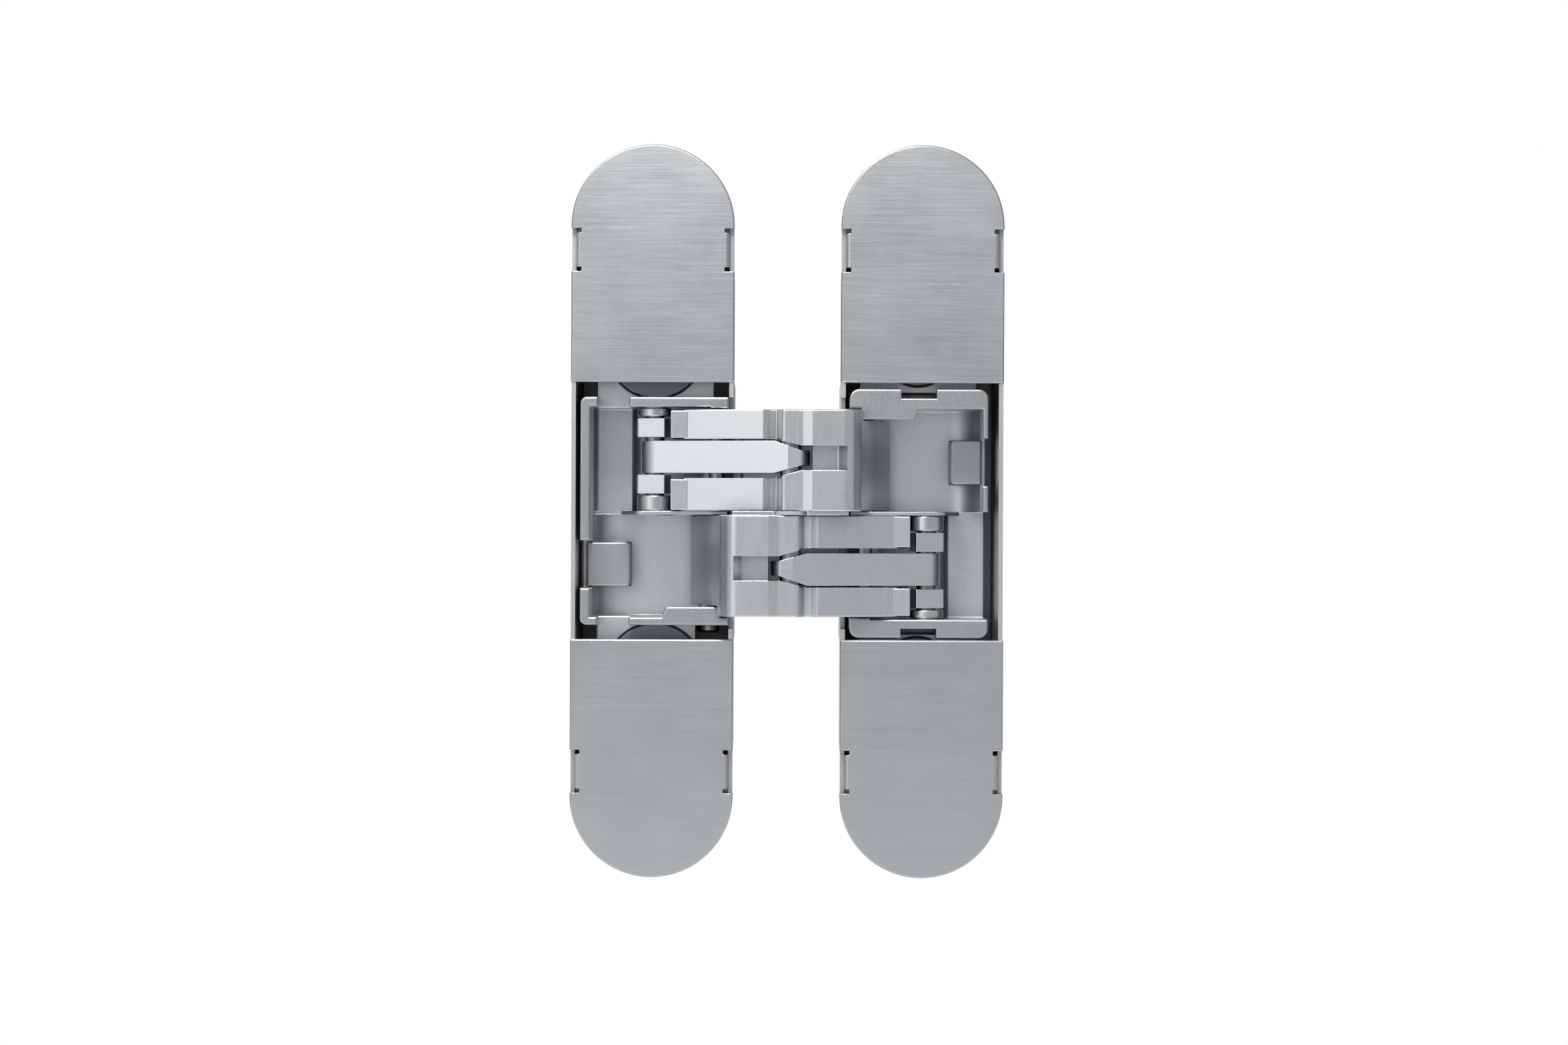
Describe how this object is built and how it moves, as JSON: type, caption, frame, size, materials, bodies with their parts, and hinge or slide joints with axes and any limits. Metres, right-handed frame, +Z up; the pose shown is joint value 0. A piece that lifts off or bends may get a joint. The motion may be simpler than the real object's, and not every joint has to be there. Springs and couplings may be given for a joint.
{
  "type": "concealed door hinge",
  "caption": "Concealed door hinge opened to 180 degrees: two round-ended mortise bodies with bare cover plates, joined by interleaved arms that fold into them.",
  "frame": {"origin": "middle of the frame-side body's four screw holes, on the rear face of its end flanges, which seats in the mortise", "axes": "+X from the frame-side body towards the door-side body, +Y into the mortises, +Z up along the hinge axis"},
  "size_m": [0.0649, 0.0293, 0.11],
  "materials": {
    "cover_plate": "satin",
    "cast_body": "satin silver coat",
    "cast_carriage": "satin silver coat",
    "cast_arm": "satin",
    "arm_blade": "satin",
    "spacer_steel": "satin",
    "roller_steel": "turned",
    "pin_steel": "ground",
    "track_steel": "stamped",
    "adjuster_zinc": "satin",
    "screw_steel": "zinc plated",
    "stop_plastic": "moulded grey",
    "washer_plastic": "moulded"
  },
  "bodies": {
    "frame_side": {"left_housing": "cast_body", "left_upper_cover": "cover_plate", "left_lower_cover": "cover_plate", "left_clamp_screws": "screw_steel"},
    "frame_carriage": {"left_carriage": "cast_carriage", "left_track_plate": "track_steel", "left_stop_block": "stop_plastic", "left_pivot_pin": "pin_steel"},
    "frame_upper_adjuster": {"left_upper_eccentric": "adjuster_zinc"},
    "frame_lower_adjuster": {"left_lower_eccentric": "adjuster_zinc"},
    "lower_arm": {"lower_arm_fork": "cast_arm", "lower_arm_blade": "arm_blade", "lower_arm_rivet": "pin_steel", "right_pin_spacers": "spacer_steel", "right_slide_pin": "pin_steel", "right_slide_rollers": "roller_steel", "centre_pin": "pin_steel", "centre_washer": "washer_plastic"},
    "upper_arm": {"upper_arm_fork": "cast_arm", "upper_arm_blade": "arm_blade", "upper_arm_rivet": "pin_steel", "left_pin_spacers": "spacer_steel", "left_slide_pin": "pin_steel", "left_slide_rollers": "roller_steel"},
    "door_carriage": {"right_carriage": "cast_carriage", "right_track_plate": "track_steel", "right_stop_block": "stop_plastic", "right_pivot_pin": "pin_steel"},
    "door_upper_adjuster": {"right_upper_eccentric": "adjuster_zinc"},
    "door_lower_adjuster": {"right_lower_eccentric": "adjuster_zinc"},
    "door_side": {"right_housing": "cast_body", "right_upper_cover": "cover_plate", "right_lower_cover": "cover_plate", "right_clamp_screws": "screw_steel"}
  },
  "joints": [
    {"name": "height_adjust", "type": "slide", "parent": "frame_side", "child": "frame_carriage", "axis": [0, 0, 1], "range_m": [-0.0014, 0.0014]},
    {"name": "frame_upper_adjuster_turn", "type": "hinge", "parent": "frame_carriage", "child": "frame_upper_adjuster", "pos_m": [0.0003, 0.0032, 0.0243], "axis": [0, 1, 0], "range_deg": [-30, 30]},
    {"name": "frame_lower_adjuster_turn", "type": "hinge", "parent": "frame_carriage", "child": "frame_lower_adjuster", "pos_m": [0.0003, 0.0032, -0.0243], "axis": [0, 1, 0], "range_deg": [-30, 30]},
    {"name": "fold", "type": "hinge", "parent": "frame_carriage", "child": "lower_arm", "pos_m": [0.00825, 0.007, -0.0083], "axis": [0, 0, -1], "range_deg": [0, 83.52]},
    {"name": "centre_turn", "type": "hinge", "parent": "lower_arm", "child": "upper_arm", "pos_m": [0.02075, -0.007, -0.0003], "axis": [0, 0, -1], "range_deg": [0, 13]},
    {"name": "door_pivot_turn", "type": "hinge", "parent": "upper_arm", "child": "door_carriage", "pos_m": [0.03325, 0.007, 0.0077], "axis": [0, 0, -1], "range_deg": [0, 83.6]},
    {"name": "side_adjust", "type": "slide", "parent": "door_carriage", "child": "door_side", "axis": [1, 0, 0], "range_m": [-0.0015, 0.0005]},
    {"name": "door_upper_adjuster_turn", "type": "hinge", "parent": "door_carriage", "child": "door_upper_adjuster", "pos_m": [0.04002, 0.0032, 0.0243], "axis": [0, 1, 0], "range_deg": [-31.6, 10.9]},
    {"name": "door_lower_adjuster_turn", "type": "hinge", "parent": "door_carriage", "child": "door_lower_adjuster", "pos_m": [0.04002, 0.0032, -0.0243], "axis": [0, -1, 0], "range_deg": [-31.6, 10.9]}
  ],
  "couplings": [
    {"joint": "frame_upper_adjuster_turn", "follows": "height_adjust", "rad_per_m": 365},
    {"joint": "frame_lower_adjuster_turn", "follows": "height_adjust", "rad_per_m": 365},
    {"joint": "centre_turn", "follows": "fold", "ratio": 0.15516},
    {"joint": "door_pivot_turn", "follows": "fold", "ratio": 1},
    {"joint": "door_upper_adjuster_turn", "follows": "side_adjust", "rad_per_m": 365},
    {"joint": "door_lower_adjuster_turn", "follows": "side_adjust", "rad_per_m": 365}
  ]
}
